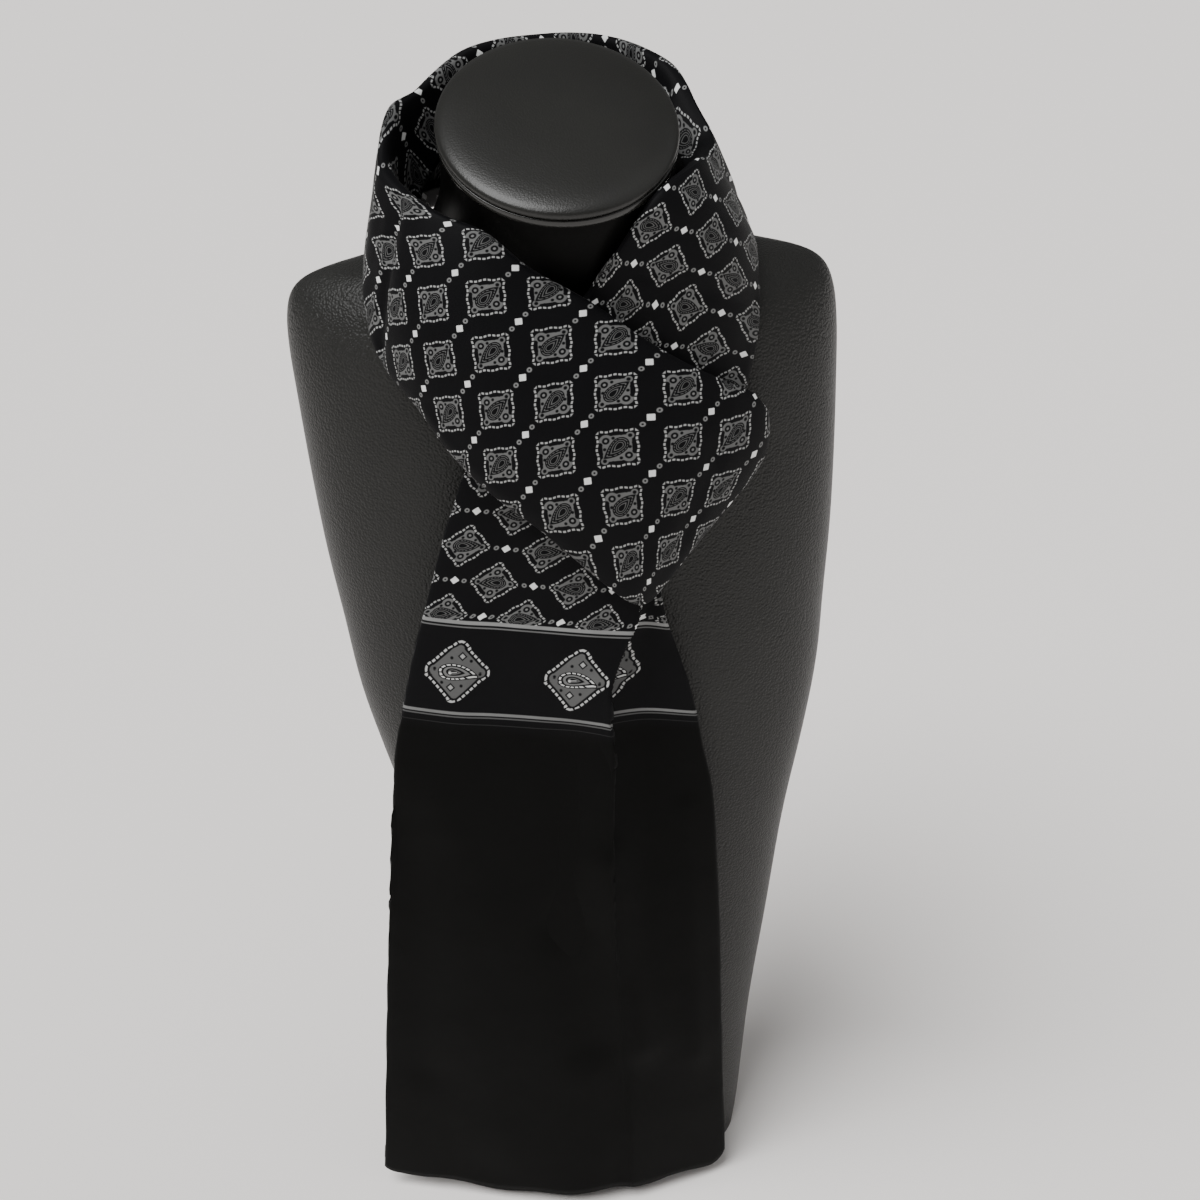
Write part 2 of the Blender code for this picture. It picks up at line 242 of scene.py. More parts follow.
# The border's stripes, in repeats along the cloth: the middle, half the width and the tone
BAND_STRIPES = (
    (-0.100, 0.026, 0.27),
    (-0.165, 0.010, 0.15),
    (-1.470, 0.022, 0.20),
    (-1.525, 0.010, 0.10),
    (-1.630, 0.004, 0.03),
)

# The leathers: the name, the setting with the colour, the roughness, the shine, the scale of
# the grain and its strength
LEATHERS = {
    "leather": ("bust leather", "leather", 0.44, 0.25, 620.0, 1.0),
    # The neck's dark colour is partly the smooth black leather and partly painted shade between the collars
    "neck": ("neck leather", "neck", 0.42, 0.06, 900.0, 0.1),
    "cap": ("cap leather", "cap", 0.34, 0.4, 900.0, 0.12),
    "rim": ("rim leather", "cap", 0.2, 0.5, 900.0, 0.05),
}

# Soft unevenness of the cloths: how deep it is, how long its waves are and its seed
WOUND_UNEVEN = ((0.7, 46.0, 1), (0.25, 17.0, 2))
END_UNEVEN = ((0.8, 60.0, 3), (0.25, 20.0, 4))
HIDDEN_UNEVEN = ((0.6, 40.0, 5),)

# The lights: the setting with the strength, the way toward the light and how many degrees
# wide it looks
LIGHTS = (
    ("key", (-0.45, -0.36, 1.0), 42.0),
    ("fill", (0.8, -0.35, 0.9), 70.0),
)
FLOOR_REACH = 30.0

# The camera: where it stands in metres, how far it is turned, tilted and rolled, and its lens
CAMERA_PLACE = (-0.0962, -1.040, 0.931)
CAMERA_TURN = 5.0
CAMERA_DIP = 25.0
CAMERA_ROLL = 1.8
CAMERA_LENS = 50.82
CAMERA_SENSOR = 36.0


# Curves and sections

CURVE_STEPS = 120


def table_at(rows, place):
    """The row at a place between the table's rows, along a smooth curve through them."""
    last = len(rows) - 1
    low = min(int(place), last - 1)
    part = place - low
    start = rows[low]
    end = rows[low + 1]
    before = rows[low - 1] if low > 0 else 2 * start - end
    after = rows[low + 2] if low + 2 <= last else 2 * end - start
    return 0.5 * (
        2 * start
        + (end - before) * part
        + (2 * before - 5 * start + 4 * end - after) * part**2
        + (3 * start - before - 3 * end + after) * part**3
    )


def evenly(points, count):
    """Count + 1 points at even steps along a smooth curve through the points."""
    points = np.asarray(points, float)
    fine = np.array([table_at(points, place) for place in np.linspace(0, len(points) - 1, CURVE_STEPS + 1)])
    steps = np.linalg.norm(np.diff(fine, axis=0), axis=1)
    run = np.concatenate([[0], np.cumsum(steps)])
    wanted = np.linspace(0, run[-1], count + 1)
    return np.stack([np.interp(wanted, run, fine[:, axis]) for axis in range(points.shape[1])], axis=1)


def run_along(points):
    """The length along a line of points, from its first."""
    steps = np.linalg.norm(np.diff(points, axis=0), axis=1)
    return np.concatenate([[0], np.cumsum(steps)])


# Steps across the wound cloth, up its inner side, down its face and under its hem, and along
# it from one row of its table to the next
INNER_STEPS = 14
FACE_STEPS = 46
TUCK_STEPS = 12
WOUND_STEPS = 11

# The shape of its face: the places that its curve goes through, the fullness of its bulge and
# how near the crest its sweep is greatest
FACE_PARTS = (0.0, 0.06, 0.25, 0.5, 0.75, 0.94, 1.0)
BULGE_POWER = 0.7
SWEEP_POWER = 0.45

# How far its crest and its hem roll in, the steps along a crease, and the middle of the winding
CREST_ROLL = 3.5
HEM_RETURN = 4.0
CREASE_STEPS = 8
WINDING_MIDDLE = np.array([-24.0, 10.0])


def wound_section(row):
    """Points across the wound cloth: up its inner side, over the crest and down to the hem."""
    crest = row[0:3]
    hem = row[3:6]
    bulge, sweep, inner_in, inner_down, roll = row[6:11]
    middle = (crest + hem) / 2
    away = np.array([*(middle[:2] - WINDING_MIDDLE), 0.0])
    away /= np.linalg.norm(away)
    across = (hem - crest) / np.linalg.norm(hem - crest)
    onward = np.cross(across, away)
    onward /= np.linalg.norm(onward)
    inner_end = crest - away * inner_in - np.array([0, 0, inner_down])
    inner_top = crest - away * min(2 * CREST_ROLL, 0.7 * inner_in) + across * min(roll, 1.0)
    face = []
    for part in FACE_PARTS:
        swell = math.sin(math.pi * part) ** BULGE_POWER
        swept = math.sin(math.pi * part**SWEEP_POWER) ** 2
        face.append(crest + (hem - crest) * part + away * bulge * swell + onward * sweep * swept)
    tuck = [
        hem,
        hem - away * roll + across * roll * 0.6,
        hem - away * 2 * roll - across * 0.3 * roll,
        hem - away * 2 * roll - across * HEM_RETURN * roll,
    ]
    inner = evenly([inner_end, (inner_end + inner_top) / 2, inner_top, crest], INNER_STEPS)
    outer = evenly(face, FACE_STEPS)
    under = evenly(tuck, TUCK_STEPS)
    return np.concatenate([inner, outer[1:], under[1:]])


def print_section(row, section):
    """Where each point of a section lies on the flat print."""
    crest, middle, hem, inner = row[0:2], row[2:4], row[4:6], row[6:8]
    run = run_along(section)
    start = run[INNER_STEPS]
    length = run[INNER_STEPS + FACE_STEPS] - start
    part = (run - start) / length
    inside = np.clip(part, 0, 1)[:, None]
    bend = 2 * (crest - 2 * middle + hem)
    places = crest + (-3 * crest + 4 * middle - hem) * inside + bend * inside**2
    last = (crest - 4 * middle + 3 * hem) / length
    last /= np.linalg.norm(last)
    places += inner * np.minimum(run - start, 0)[:, None]
    places += last * np.maximum(run - start - length, 0)[:, None]
    return places


def bust_ring(row, segments):
    """One ring of the bust: a rounded oval, tilted forward."""
    z, y, half_width, front, back, tilt, squareness = row
    lean = math.radians(tilt)
    angle = np.linspace(0, 2 * math.pi, segments, endpoint=False)
    cosine = np.cos(angle)
    sine = np.sin(angle)
    x = half_width * np.sign(cosine) * np.abs(cosine) ** (2 / squareness)
    reach = np.where(sine > 0, back, front)
    depth = reach * np.sign(sine) * np.abs(sine) ** (2 / squareness)
    height = z + depth * math.sin(lean)
    return np.stack([x + BUST_LEAN * height, y + depth * math.cos(lean), height], axis=1)


def cap_ring(inset, rise, segments):
    lean = math.radians(CAP_TILT)
    reach = CAP_HALF_LENGTH - inset
    middle_y = CAP_Y - rise * math.sin(lean)
    middle_z = CAP_Z + rise * math.cos(lean)
    return bust_ring((middle_z, middle_y, CAP_HALF_WIDTH - inset, reach, reach, CAP_TILT, 2.0), segments)


# Meshes

def sheet_normals(places):
    down = np.gradient(places, axis=0)
    across = np.gradient(places, axis=1)
    normals = np.cross(across, down)
    size = np.linalg.norm(normals, axis=2, keepdims=True)
    return normals / np.maximum(size, 1e-9)


def line_pull(places, line, half_width):
    """How near each point is to a line of points: 1 on it, fading to 0 beyond its half width."""
    near = np.full(places.shape[:2], 1e9)
    for start, end in zip(line[:-1], line[1:]):
        step = end - start
        along = np.clip(((places - start) @ step) / (step @ step), 0, 1)
        gap = np.linalg.norm(places - (start + along[..., None] * step), axis=2)
        near = np.minimum(near, gap)
    return np.exp(-((near / half_width) ** 2))


def unevenness(places, waves):
    """Soft noise, the same in each run, one value for each point."""
    flat = places.reshape(-1, 3)
    total = 0
    for depth, size, seed in waves:
        shift = Vector((seed * 17.3, seed * 5.1, seed * 2.7))
        values = [noise.noise(Vector(point) / size + shift) for point in flat]
        total = total + depth * np.array(values).reshape(places.shape[:2])
    return total


def sheet_object(name, places, print_places, wall, finish):
    """An open sheet through a grid of points, with its place on the print as a UV map."""
    lines, points = places.shape[:2]
    shape = bmesh.new()
    bmesh.ops.create_grid(shape, x_segments=points - 1, y_segments=lines - 1, size=0.5)
    layer = shape.loops.layers.uv.new("print")
    order = {}
    for vertex in shape.verts:
        step = round((vertex.co.x + 0.5) * (points - 1))
        line = round((vertex.co.y + 0.5) * (lines - 1))
        order[vertex] = (line, step)
    for vertex, (line, step) in order.items():
        vertex.co = Vector(places[line, step]) * MM
    for face in shape.faces:
        face.smooth = True
        for loop in face.loops:
            line, step = order[loop.vert]
            loop[layer].uv = print_places[line, step] / REPEAT
    mesh = bpy.data.meshes.new(name)
    shape.to_mesh(mesh)
    shape.free()
    mesh.materials.append(finish)
    made = bpy.data.objects.new(name, mesh)
    bpy.context.scene.collection.objects.link(made)
    thickness = made.modifiers.new("wall", "SOLIDIFY")
    thickness.thickness = wall
    thickness.offset = -1.0
    return made


def ring_object(name, rings, finish):
    """A closed form through rings of equal count, bridged from one to the next."""
    shape = bmesh.new()
    edges = []
    for ring in rings:
        loop = [shape.verts.new(Vector(point) * MM) for point in ring]
        edges += [shape.edges.new((loop[i - 1], loop[i])) for i in range(len(loop))]
    bmesh.ops.bridge_loops(shape, edges=edges)
    ends = [edge for edge in shape.edges if len(edge.link_faces) == 1]
    bmesh.ops.holes_fill(shape, edges=ends, sides=0)
    bmesh.ops.recalc_face_normals(shape, faces=shape.faces)
    for face in shape.faces:
        face.smooth = True
    mesh = bpy.data.meshes.new(name)
    shape.to_mesh(mesh)
    shape.free()
    mesh.materials.append(finish)
    made = bpy.data.objects.new(name, mesh)
    bpy.context.scene.collection.objects.link(made)
    return made


# Node sums: a value in a node tree that can be added, scaled and compared

class Value:
    tree = None

    def __init__(self, socket):
        self.socket = socket

    @classmethod
    def math(cls, operation, *terms, clamp=False):
        node = cls.tree.nodes.new("ShaderNodeMath")
        node.operation = operation
        node.use_clamp = clamp
        for index, term in enumerate(terms):
            if isinstance(term, Value):
                cls.tree.links.new(term.socket, node.inputs[index])
            else:
                node.inputs[index].default_value = term
        return Value(node.outputs[0])

    def __add__(self, other):
        return Value.math("ADD", self, other)

    def __radd__(self, other):
        return Value.math("ADD", self, other)

    def __sub__(self, other):
        return Value.math("SUBTRACT", self, other)

    def __rsub__(self, other):
        return Value.math("SUBTRACT", other, self)

    def __mul__(self, other):
        return Value.math("MULTIPLY", self, other)

    def abs(self):
        return Value.math("ABSOLUTE", self)

    def floor(self):
        return Value.math("FLOOR", self)

    def fract(self):
        return Value.math("FRACT", self)

    def high(self, other):
        return Value.math("MAXIMUM", self, other)

    def low(self, other):
        return Value.math("MINIMUM", self, other)

    def below(self, edge, soft=0.012):
        """1 where the value is below the edge, with a soft step."""
        return Value.math("MULTIPLY_ADD", self, -1 / soft, edge / soft + 0.5, clamp=True)

    def band(self, middle, half, soft=0.012):
        return (self - middle).abs().below(half, soft)


def distance(x, y, at_x=0.0, at_y=0.0):
    dx = x - at_x
    dy = y - at_y
    return Value.math("SQRT", dx * dx + dy * dy)


def over(under, upper, mask):
    """Upper laid over under, where the mask is 1."""
    return under + (upper - under) * mask


def new_group(name, inputs, outputs):
    group = bpy.data.node_groups.new(name, "ShaderNodeTree")
    for label, kind, value in inputs:
        socket = group.interface.new_socket(name=label, in_out="INPUT", socket_type=kind)
        if value is not None:
            socket.default_value = value
    for label, kind in outputs:
        group.interface.new_socket(name=label, in_out="OUTPUT", socket_type=kind)
    start = group.nodes.new("NodeGroupInput")
    end = group.nodes.new("NodeGroupOutput")
    return group, start, end


def split(tree, socket):
    node = tree.nodes.new("ShaderNodeSeparateXYZ")
    tree.links.new(socket, node.inputs[0])
    return Value(node.outputs["X"]), Value(node.outputs["Y"])


def teardrop(along, aside, tip, round_end, half_width, curl):
    """1 on the outline of a drop, less inside it: round at one end, its tip bent aside."""
    ahead = along.high(0.0) * (1 / tip)
    behind = (along * -1.0).high(0.0) * (1 / round_end)
    bent = aside + ahead * ahead * ahead * curl
    wide = bent.abs() * (1 / half_width)
    pointed = (wide + Value.math("SQRT", wide * wide + ahead * ahead * 4.0)) * 0.5
    return Value.math("SQRT", pointed * pointed + behind * behind)


def box_distance(x, y, half, corner):
    """The distance outside a square with rounded corners, below 0 inside it."""
    inner = half - corner
    out_x = (x.abs() - inner).high(0.0)
    out_y = (y.abs() - inner).high(0.0)
    inside = (x.abs() - inner).high(y.abs() - inner).low(0.0)
    return Value.math("SQRT", out_x * out_x + out_y * out_y) + inside - corner


def foulard_group():
    """The small repeat: dashed squares with a dark paisley, white squares and grey rings.

    Places and widths are in repeats of the print, and tones run from 0 to 1.
    """
    group, start, end = new_group(
        "Foulard print",
        [("Place", "NodeSocketVector", None)],
        [("Tone", "NodeSocketFloat")],
    )
    Value.tree = group
    u, v = split(group, start.outputs["Place"])
    s = u + v
    t = u - v
    turned = ((s.floor() - t.floor()) * 0.5).fract()
    facing = 1.0 - turned * 4.0
    x = (s.fract() - 0.5) * facing
    y = (t.fract() - 0.5) * facing
    side = Value.math("SIGN", y - x + 0.0001)
    eye_x = x * side
    eye_y = y * side
    end_side = Value.math("SIGN", x + y + 0.0001)
    dot_x = x * end_side
    dot_y = y * end_side

    eye = distance(eye_x, eye_y, -0.165, 0.14)
    corner_dot = distance(dot_x, dot_y, 0.2, 0.205)
    body = box_distance(x, y, 0.222, 0.04)
    body = body.low(eye - 0.108).low(corner_dot - 0.06)
    upright = Value.math("GREATER_THAN", x.abs(), y.abs())
    along_side = over(x, y, upright)
    out_side = x.abs().high(y.abs())
    dashes = (along_side * 13.4 + 0.5).fract().band(0.5, 0.32, 0.16)
    wave = Value.math("COSINE", along_side * 21.7) * 0.011
    edge = (out_side - wave).high((x.abs() + y.abs()) * 0.7071 - 0.102)
    tone = edge.band(0.304, 0.0165, 0.012) * dashes * 0.42
    bead = distance(out_side, along_side.abs(), 0.262, 0.075)
    body = body.high(0.045 - bead)
    tone = over(tone, 0.15, body.below(0.0, 0.012))

    along = (x + y) * 0.7071
    aside = (y - x) * 0.7071
    drop = teardrop(along + 0.062, aside, 0.325, 0.15, 0.126, 0.035)
    tone = over(tone, 0.0, drop.below(1.03, 0.07))
    broken = (along * 19.0 + aside * 8.0).fract().band(0.5, 0.3, 0.15)
    lines = drop.band(0.84, 0.04, 0.05) * broken
    lines = lines + drop.band(0.60, 0.035, 0.05) + drop.band(0.37, 0.04, 0.05)
    tone = over(tone, 0.13, lines.low(1.0) * drop.below(1.0, 0.05))

    tone = over(tone, 0.0, eye.below(0.06, 0.014))
    tone = over(tone, 0.20, eye.below(0.023, 0.014))
    tone = over(tone, 0.0, corner_dot.below(0.032, 0.014))
    for bead_x, bead_y in ((-0.05, 0.178), (-0.19, -0.005)):
        tone = over(tone, 0.0, distance(eye_x, eye_y, bead_x, bead_y).below(0.027, 0.014))

    off_s = (s + 0.5).fract() - 0.5
    off_t = (t + 0.5).fract() - 0.5
    white = box_distance(off_s, off_t, 0.057, 0.012).below(0.0, 0.012)
    tone = over(tone, 0.95, white)
    ring = distance((off_s + off_t).abs() * 0.7071, (off_s - off_t) * 0.7071, 0.168, 0.0)
    tone = over(tone, 0.22, ring.band(0.031, 0.0135, 0.012))
    group.links.new(tone.socket, end.inputs["Tone"])
    return group


def band_group():
    """The border: grey stripes, and large paisleys in a row between them.

    Places and widths are in repeats of the small print, and tones run from 0 to 1.
    """
    group, start, end = new_group(
        "Border band",
        [("Place", "NodeSocketVector", None), ("Foulard", "NodeSocketFloat", 0.0)],
        [("Tone", "NodeSocketFloat"), ("Field", "NodeSocketFloat")],
    )
    Value.tree = group
    u, w = split(group, start.outputs["Place"])
    foulard = Value(start.outputs["Foulard"])
    tone = foulard * (w * -1.0).below(0.10, 0.01)

    x = ((u * (1 / 1.56) - 0.897 + 0.5).fract() - 0.5) * 1.56
    y = (w + 0.838) * (1 / 1.12)
    ax = x.abs()
    ay = y.abs()
    diamond = (ax * 0.72 + ay * 0.694) - 0.268
    diamond = diamond.high(ay * 0.96 + ax * 0.28 - 0.350)
    lobe = distance(ax, ay, 0.295, 0.0) - 0.067
    body = diamond.high(ax - 0.33).low(lobe)
    dashes = ((ay - ax) * 10.2 + 0.5).fract().band(0.5, 0.33, 0.1)
    tone = over(tone, 0.58, body.band(0.045, 0.0145, 0.01) * dashes)
    tone = over(tone, 0.115, body.below(0.0, 0.01))

    side = Value.math("SIGN", y + 0.0001)
    fold_x = x * side
    fold_y = y * side
    gem = (fold_x - 0.052).abs() + (fold_y - 0.215).abs()
    tone = over(tone, 0.0, gem.below(0.062, 0.014))
    tone = over(tone, 0.42, gem.below(0.036, 0.014))
    for bead_x, bead_y in ((-0.086, 0.184), (0.168, 0.158), (-0.298, 0.02)):
        tone = over(tone, 0.0, distance(fold_x, fold_y, bead_x, bead_y).below(0.021, 0.014))
    tone = over(tone, 0.0, distance(fold_x, fold_y, 0.298, -0.01).below(0.021, 0.014))

    drop = teardrop(x + 0.0624, y + 0.004, 0.312, 0.161, 0.0957, 0.045)
    stitch = Value.math("ARCTAN2", (y + 0.01) * 1.5, x + 0.02)
    stitches = (stitch * (15 / (2 * math.pi)) + 0.3).fract().band(0.5, 0.34, 0.1)
    tone = over(tone, 0.0, drop.below(1.19, 0.06))
    tone = over(tone, 0.72, drop.band(1.0, 0.085, 0.05) * stitches)
    tone = over(tone, 0.19, drop.band(0.64, 0.11, 0.05))
    tone = over(tone, 0.12, drop.band(0.30, 0.06, 0.05))
    tone = over(tone, 0.75, distance(x, y, -0.094, -0.019).below(0.018, 0.012))
    vein = (y - x * 0.14 + 0.004).band(0.0, 0.007, 0.008)
    tone = over(tone, 0.42, vein * (x + 0.05).band(0.0, 0.045, 0.01))

    for middle, half, shade in BAND_STRIPES:
        tone = over(tone, shade, w.band(middle, half, 0.01))
    group.links.new(tone.socket, end.inputs["Tone"])
    field = 1.0 - w.below(-1.66, 0.2)
    group.links.new(field.socket, end.inputs["Field"])
    return group


def weave_group():
    """A fine plain weave, as a height, with slubs where a thread runs thicker."""
    group, start, end = new_group(
        "Fine weave",
        [("Place", "NodeSocketVector", None), ("Threads", "NodeSocketFloat", 70.0)],
        [("Height", "NodeSocketFloat"), ("Shade", "NodeSocketFloat")],
    )
    Value.tree = group
    u, v = split(group, start.outputs["Place"])
    threads = Value(start.outputs["Threads"])
    across = Value.math("SINE", u * threads * (2 * math.pi))
    along = Value.math("SINE", v * threads * (2 * math.pi))
    cloud = group.nodes.new("ShaderNodeTexNoise")
    cloud.inputs["Scale"].default_value = 3.0
    cloud.inputs["Detail"].default_value = 4.0
    group.links.new(start.outputs["Place"], cloud.inputs["Vector"])
    slub = Value(cloud.outputs["Fac"])
    height = across * along * 0.5 + slub * 1.4
    group.links.new(height.socket, end.inputs["Height"])
    shade = 0.82 + slub * 0.36
    group.links.new(shade.socket, end.inputs["Shade"])
    return group


def grain_group():
    """Pebbled leather grain, as a height and a soft change of tone."""
    group, start, end = new_group(
        "Leather grain",
        [("Place", "NodeSocketVector", None), ("Size", "NodeSocketFloat", 420.0)],
        [("Height", "NodeSocketFloat"), ("Tone", "NodeSocketFloat")],
    )
    Value.tree = group
    pebble = group.nodes.new("ShaderNodeTexVoronoi")
    pebble.feature = "SMOOTH_F1"
    pebble.inputs["Smoothness"].default_value = 0.6
    group.links.new(start.outputs["Place"], pebble.inputs["Vector"])
    group.links.new(start.outputs["Size"], pebble.inputs["Scale"])
    broad = group.nodes.new("ShaderNodeTexNoise")
    broad.inputs["Scale"].default_value = 14.0
    broad.inputs["Detail"].default_value = 6.0
    group.links.new(start.outputs["Place"], broad.inputs["Vector"])
    fine = group.nodes.new("ShaderNodeTexNoise")
    fine.inputs["Scale"].default_value = 900.0
    fine.inputs["Detail"].default_value = 2.0
    group.links.new(start.outputs["Place"], fine.inputs["Vector"])
    height = Value(pebble.outputs["Distance"]) * -1.0 + Value(fine.outputs["Fac"]) * 0.35
    group.links.new(height.socket, end.inputs["Height"])
    tone = Value(broad.outputs["Fac"]) * 0.7 + 0.65
    group.links.new(tone.socket, end.inputs["Tone"])
    return group


def place_group(tree, group, **links):
    node = tree.nodes.new("ShaderNodeGroup")
    node.node_tree = group
    for label, source in links.items():
        if hasattr(source, "is_linked"):
            tree.links.new(source, node.inputs[label])
        else:
            node.inputs[label].default_value = source
    return node


def bump_on(tree, shader, height, strength, deep):
    bump = tree.nodes.new("ShaderNodeBump")
    bump.inputs["Strength"].default_value = strength
    bump.inputs["Distance"].default_value = deep
    tree.links.new(height, bump.inputs["Height"])
    tree.links.new(bump.outputs["Normal"], shader.inputs["Normal"])


def cloth_material(name, settings, groups, banded):
    made = bpy.data.materials.new(name)
    made.use_nodes = True
    tree = made.node_tree
    shader = tree.nodes["Principled BSDF"]
    shader.inputs["Roughness"].default_value = 0.55
    shader.inputs["Sheen Weight"].default_value = 0.02
    shader.inputs["Sheen Roughness"].default_value = 0.4
    shader.inputs["Specular IOR Level"].default_value = 0.07
    uv = tree.nodes.new("ShaderNodeUVMap")
    uv.uv_map = "print"
    foulard = place_group(tree, groups["foulard"], Place=uv.outputs["UV"])
    weave = place_group(tree, groups["weave"], Place=uv.outputs["UV"], Threads=settings.threads)
    tone = foulard.outputs["Tone"]
    ground = tree.nodes.new("ShaderNodeMix")
    ground.data_type = "RGBA"
    ground.inputs["A"].default_value = (*settings.plain, 1.0)
    ground.inputs["B"].default_value = (*settings.ground, 1.0)
    ground.inputs["Factor"].default_value = 1.0
    if banded:
        band = place_group(tree, groups["band"], Place=uv.outputs["UV"], Foulard=tone)
        tone = band.outputs["Tone"]
        tree.links.new(band.outputs["Field"], ground.inputs["Factor"])
    printed = tree.nodes.new("ShaderNodeMix")
    printed.data_type = "RGBA"
    printed.inputs["B"].default_value = (*settings.ink, 1.0)
    tree.links.new(tone, printed.inputs["Factor"])
    tree.links.new(ground.outputs["Result"], printed.inputs["A"])
    shaded = tree.nodes.new("ShaderNodeMix")
    shaded.data_type = "RGBA"
    shaded.blend_type = "MULTIPLY"
    shaded.inputs["Factor"].default_value = 1.0
    tree.links.new(printed.outputs["Result"], shaded.inputs["A"])
    tree.links.new(weave.outputs["Shade"], shaded.inputs["B"])
    tree.links.new(shaded.outputs["Result"], shader.inputs["Base Color"])
    bump_on(tree, shader, weave.outputs["Height"], 0.25, 0.0003)
    return made


def leather_material(name, colour, roughness, shine, size, groups, strength):
    """Leather with its grain."""
    made = bpy.data.materials.new(name)
    made.use_nodes = True
    tree = made.node_tree
    shader = tree.nodes["Principled BSDF"]
    shader.inputs["Roughness"].default_value = roughness
    shader.inputs["Specular IOR Level"].default_value = shine
    place = tree.nodes.new("ShaderNodeTexCoord")
    grain = place_group(tree, groups["grain"], Place=place.outputs["Object"], Size=size)
    shaded = tree.nodes.new("ShaderNodeMix")
    shaded.data_type = "RGBA"
    shaded.blend_type = "MULTIPLY"
    shaded.inputs["Factor"].default_value = 1.0
    shaded.inputs["A"].default_value = (*colour, 1.0)
    tree.links.new(grain.outputs["Tone"], shaded.inputs["B"])
    tree.links.new(shaded.outputs["Result"], shader.inputs["Base Color"])
    bump_on(tree, shader, grain.outputs["Height"], strength, 0.0006)
    return made


FINISHES = {}


def colour_setting(name, words, value):
    return FloatVectorProperty(name=name, description=words, subtype="COLOR", size=3, default=value)


def number_setting(name, words, value, unit="NONE"):
    return FloatProperty(name=name, description=words, default=value, unit=unit)


class ScarfClothSettings(bpy.types.PropertyGroup):
    wall: number_setting("Wall", "Thickness of the wound cloth", 0.002, "LENGTH")
    layer: number_setting("Layer", "Thickness of one layer of the hanging end", 0.0012, "LENGTH")
    threads: number_setting("Threads", "Threads of the weave in one repeat of the print", 70.0)
    ground: colour_setting("Ground", "Colour of the printed field", (0.0034, 0.0034, 0.0040))
    plain: colour_setting("Plain", "Colour of the plain end", (0.0012, 0.0012, 0.0010))
    ink: colour_setting("Ink", "Colour of the light print", (0.85, 0.86, 0.85))


class ScarfBustSettings(bpy.types.PropertyGroup):
    leather: colour_setting("Leather", "Colour of the bust's leather", (0.0155, 0.0155, 0.0144))
    # The neck's colour is darker than the leather's own: painted shade for the shade between the collars
    neck: colour_setting("Neck", "Colour of the neck's smooth leather, darkened with painted shade", (0.003, 0.003, 0.0028))
    cap: colour_setting("Cap", "Colour of the neck's cap", (0.0125, 0.0125, 0.0112))
    segments: IntProperty(name="Segments", description="Points round each ring of the bust", default=144)


class ScarfStageSettings(bpy.types.PropertyGroup):
    floor: colour_setting("Floor", "Colour of the floor", (1.0, 0.965, 0.94))
    air: number_setting("Air", "Strength of the even light all round", 0.17)
    key: number_setting("Key light", "Strength of the soft light from the left", 3.9)
    fill: number_setting("Fill light", "Strength of the soft light from the right", 0.4)


class SCARF_OT_finishes(bpy.types.Operator):
    """Make the cloth and leather materials that the pieces share"""
    bl_idname = "scarf.finishes"
    bl_label = "Make finishes"

    def execute(self, context):
        cloth = context.scene.scarf_cloth
        bust = context.scene.scarf_bust
        groups = {
            "foulard": foulard_group(),
            "band": band_group(),
            "weave": weave_group(),
            "grain": grain_group(),
        }
        FINISHES["print"] = cloth_material("printed cloth", cloth, groups, False)
        FINISHES["end"] = cloth_material("banded cloth", cloth, groups, True)
        for key, (name, setting, roughness, shine, size, strength) in LEATHERS.items():
            colour = getattr(bust, setting)
            FINISHES[key] = leather_material(name, colour, roughness, shine, size, groups, strength)
        return {"FINISHED"}


class SCARF_OT_wound_cloth(bpy.types.Operator):
    """Build the cloth that winds round the neck, as one sheet"""
    bl_idname = "scarf.wound_cloth"
    bl_label = "Build wound cloth"

    def execute(self, context):
        rows = np.array(WOUND_ROWS, float)
        prints = np.array(PRINT_ROWS, float)
        places = np.linspace(0, len(rows) - 1, (len(rows) - 1) * WOUND_STEPS + 1)
        sections = [wound_section(table_at(rows, place)) for place in places]
        grid = np.array(sections)
        flat = np.array([
            print_section(table_at(prints, place), section)
            for place, section in zip(places, sections)
        ])
        normals = sheet_normals(grid)
        shift = np.zeros(grid.shape[:2])
        for row, part, row_2, part_2, half_width, depth in WOUND_CREASES:
            line = []
            for share in np.linspace(0, 1, CREASE_STEPS + 1):
                section = wound_section(table_at(rows, row + (row_2 - row) * share))
                reach = part + (part_2 - part) * share
                line.append(section[INNER_STEPS + round(reach * FACE_STEPS)])
            shift -= depth * line_pull(grid, line, half_width)
        shift += unevenness(grid, WOUND_UNEVEN)
        steps = np.arange(grid.shape[1])
        from_crest = np.clip((steps - INNER_STEPS + 4) / 6, 0, 1)
        to_hem = np.clip((INNER_STEPS + FACE_STEPS + 1 - steps) / 5, 0, 1)
        shift *= (from_crest * to_hem)[None, :]
        grid = grid + normals * shift[..., None]
        piece = sheet_object("scarf_wound", grid, flat, context.scene.scarf_cloth.wall, FINISHES["print"])
        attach(piece, "root")
        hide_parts("scarf_right_side", "scarf_neck_back", "scarf_crossing", "scarf_fold_behind")
        return {"FINISHED"}


# The front end's hem: its height, how far up it is shaped, the rounding of its corners, how
# far in from them its middle hangs lower, and its waves (height, length and start)
HEM_HEIGHT = 12
HEM_SHAPED = 70
HEM_CORNER = 15.0
HEM_MIDDLE = 60
HEM_WAVES = ((1.5, 23.0, 0.0), (1.0, 9.0, 1.0))

# How far in from its edges the layer behind is as deep as it gets, how far in the creases
# are, and the depth at which they are measured
LAYER_EASE = 6
CREASE_EASE = 10
CREASE_Y = -98.0


